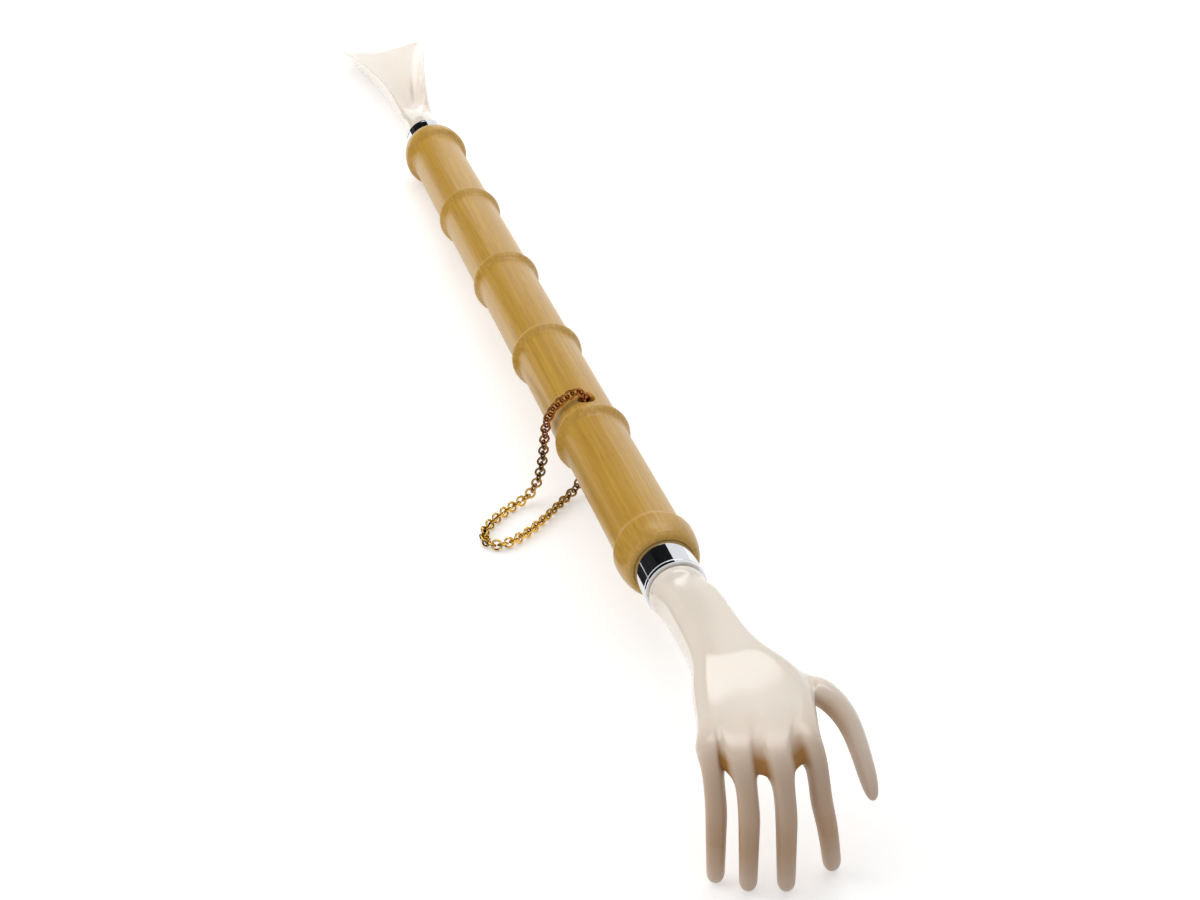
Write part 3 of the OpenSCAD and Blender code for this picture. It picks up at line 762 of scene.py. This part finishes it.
# %% Shoehorn: rims and the finished piece
rim_start = 2  # the first ring with a rim that is weighted
rim_columns = (0, HALF - 1, HALF, RING - 1)
rim_weight = 0.35
for near, far in zip(horn_rings[rim_start:], horn_rings[rim_start + 1:]):
    for column in rim_columns:
        bm.edges.get((near[column], far[column]))[edge_weight] = rim_weight
shoehorn = finished_skin(bm, "moulded_shoehorn", ivory)
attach(shoehorn, "tool")
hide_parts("shoehorn")
print("shoehorn:", len(shoehorn.data.polygons), "cage faces")

# %% [markdown]
# ## Floor
# The photograph is a product picture that is white all round. The floor is a plain pale sheet that keeps
# the shadow. More light on the tool would whiten it too, but the tool would bleach. So the floor glows a
# little, for the camera and in reflections only, and gives no light of its own to the tool. Far from the
# lamps it glows more, so that it stays white.

# %% Floor: white paper
def shown_rays(tree):
    """A socket that is 1 for camera, glossy and transmission rays, and 0 for all others."""
    ray = node(tree, "ShaderNodeLightPath")
    seen = node(tree, "ShaderNodeMath", {0: ray.outputs["Is Camera Ray"],
                                         1: ray.outputs["Is Glossy Ray"]}, operation="MAXIMUM")
    seen = node(tree, "ShaderNodeMath", {0: seen.outputs[0],
                                         1: ray.outputs["Is Transmission Ray"]}, operation="MAXIMUM")
    return seen.outputs[0]


paper = bpy.data.materials.new("white_paper_sweep")
paper.use_nodes = True
tree = paper.node_tree
tree.nodes.clear()
matt = node(tree, "ShaderNodeBsdfDiffuse", {"Color": ink("F2F2F2")})
place = node(tree, "ShaderNodeTexCoord")
far_out = node(tree, "ShaderNodeVectorMath", {0: place.outputs["Object"]}, operation="LENGTH")
# The glow rises between two distances from the tool, in metres.
fade = node(tree, "ShaderNodeMapRange", {"Value": far_out.outputs["Value"],
                                         "From Min": 0.8, "From Max": 2.2,
                                         "To Min": 0.35, "To Max": 0.68})
glow_level = node(tree, "ShaderNodeMath", {0: shown_rays(tree), 1: fade.outputs[0]},
                  operation="MULTIPLY")
glow = node(tree, "ShaderNodeEmission", {"Color": ink("FFFFFF"), "Strength": glow_level.outputs[0]})
both = node(tree, "ShaderNodeAddShader", {0: matt.outputs[0], 1: glow.outputs[0]})
node(tree, "ShaderNodeOutputMaterial", {"Surface": both.outputs[0]})
print("material:", paper.name)

# %% Floor: the sheet
floor_half = 4.0
bm = bmesh.new()
bmesh.ops.create_grid(bm, x_segments=1, y_segments=1, size=floor_half)
bmesh.ops.translate(bm, vec=(0, 0, floor_height), verts=bm.verts)
floor_mesh = bpy.data.meshes.new("floor")
bm.to_mesh(floor_mesh)
bm.free()
floor_mesh.materials.append(paper)
floor = bpy.data.objects.new("floor", floor_mesh)
bpy.context.scene.collection.objects.link(floor)
print("floor at", round(floor_height / MM, 2), "mm")

# %% [markdown]
# ## Cards for the reflections
# A photographer of shiny things sets up cards for them to mirror. Black felt gives the chrome its dark
# bands, and lit white cloth gives the back of the hand its bright one. The cards show in reflections only:
# the camera doesn't see them, and they neither shade nor light the tool.

# %% Cards: felt and lit cloth
felt = bpy.data.materials.new("black_felt_card")
felt.use_nodes = True
felt_shader = felt.node_tree.nodes["Principled BSDF"]
felt_shader.inputs["Base Color"].default_value = ink("0A0B10")
felt_shader.inputs["Roughness"].default_value = 1
lit_cloth = bpy.data.materials.new("lit_white_cloth")
lit_cloth.use_nodes = True
cloth_shader = lit_cloth.node_tree.nodes["Principled BSDF"]
cloth_shader.inputs["Emission Color"].default_value = ink("FFFFFF")
cloth_shader.inputs["Emission Strength"].default_value = 3
print("materials:", felt.name, "and", lit_cloth.name)

# %% Cards: set them up
def card(name, material, start, end, sweep):
    """A flat card that only shows in reflections: a line swept along a vector, all in metres."""
    bm = bmesh.new()
    edge = bm.edges.new([bm.verts.new(start), bm.verts.new(end)])
    swept = bmesh.ops.extrude_edge_only(bm, edges=[edge])["geom"]
    bmesh.ops.translate(bm, vec=sweep, verts=[v for v in swept if isinstance(v, bmesh.types.BMVert)])
    mesh = bpy.data.meshes.new(name)
    bm.to_mesh(mesh)
    bm.free()
    mesh.materials.append(material)
    made = bpy.data.objects.new(name, mesh)
    bpy.context.scene.collection.objects.link(made)
    made.visible_camera = False
    made.visible_shadow = False
    made.visible_diffuse = False


side_y = -0.16
low = floor_height + MM
# The left of the near ferrule, its top, the top of the far ferrule, and the underside of the near one.
card("dark_side_card", felt, (0.05, side_y, low), (-1.0, side_y, low), (0, 0, 1))
card("dark_back_card", felt, (-0.25, side_y, 0.09), (-0.25, 0.08, 0.09), (0, 0, 0.25))
card("dark_far_card", felt, (-0.31, -0.03, 0.002), (-0.31, 0.008, 0.002), (0, 0, 0.025))
card("dark_floor_card", felt, (0.05, side_y, low), (0.05, -0.03, low), (-0.14, 0, 0))
# The bright band across the back of the hand.
card("white_back_card", lit_cloth, (-0.84, -0.12, 0.84), (-0.54, 0.73, 0.84), (0.28, -0.1, 0.23))
print("cards: 4 dark and 1 white")

# %% [markdown]
# ## Lamps and room
# One small lamp would cast hard shadows. Three large soft boxes light the tool instead, from behind on its
# right, from its left and from overhead, and a white room fills in the rest. The lamps themselves are left
# out of reflections, where the cards and the white room take their place.

# %% Lamps
def soft_box(name, place, size, watts):
    """A lamp that faces the tool, with its place and its size in metres."""
    lamp = bpy.data.lights.new(name, "AREA")
    lamp.shape = "RECTANGLE"
    lamp.size, lamp.size_y = size
    lamp.energy = watts
    lamp_object = bpy.data.objects.new(name, lamp)
    lamp_object.location = place
    lamp_object.rotation_euler = (-Vector(place)).to_track_quat("-Z", "Y").to_euler()
    lamp_object.visible_camera = False
    lamp_object.visible_glossy = False
    bpy.context.scene.collection.objects.link(lamp_object)


soft_box("back_right_soft_box", (-1.0, 0.62, 0.46), (1.3, 0.9), 6)
soft_box("left_soft_box", (-0.3, -1.0, 0.6), (1.2, 0.8), 5.5)
soft_box("overhead_soft_box", (-0.35, -0.05, 1.25), (1.2, 1.2), 5.5)

# %% White room
world = bpy.data.worlds.new("white_room")
bpy.context.scene.world = world
world.use_nodes = True
tree = world.node_tree
tree.nodes.clear()
level = node(tree, "ShaderNodeMapRange", {"Value": shown_rays(tree), "To Min": 0.42, "To Max": 1})
sky = node(tree, "ShaderNodeBackground", {"Color": ink("FFFFFF"), "Strength": level.outputs[0]})
node(tree, "ShaderNodeOutputWorld", {"Surface": sky.outputs[0]})
bpy.context.scene.view_settings.view_transform = "Standard"
print("world:", world.name)
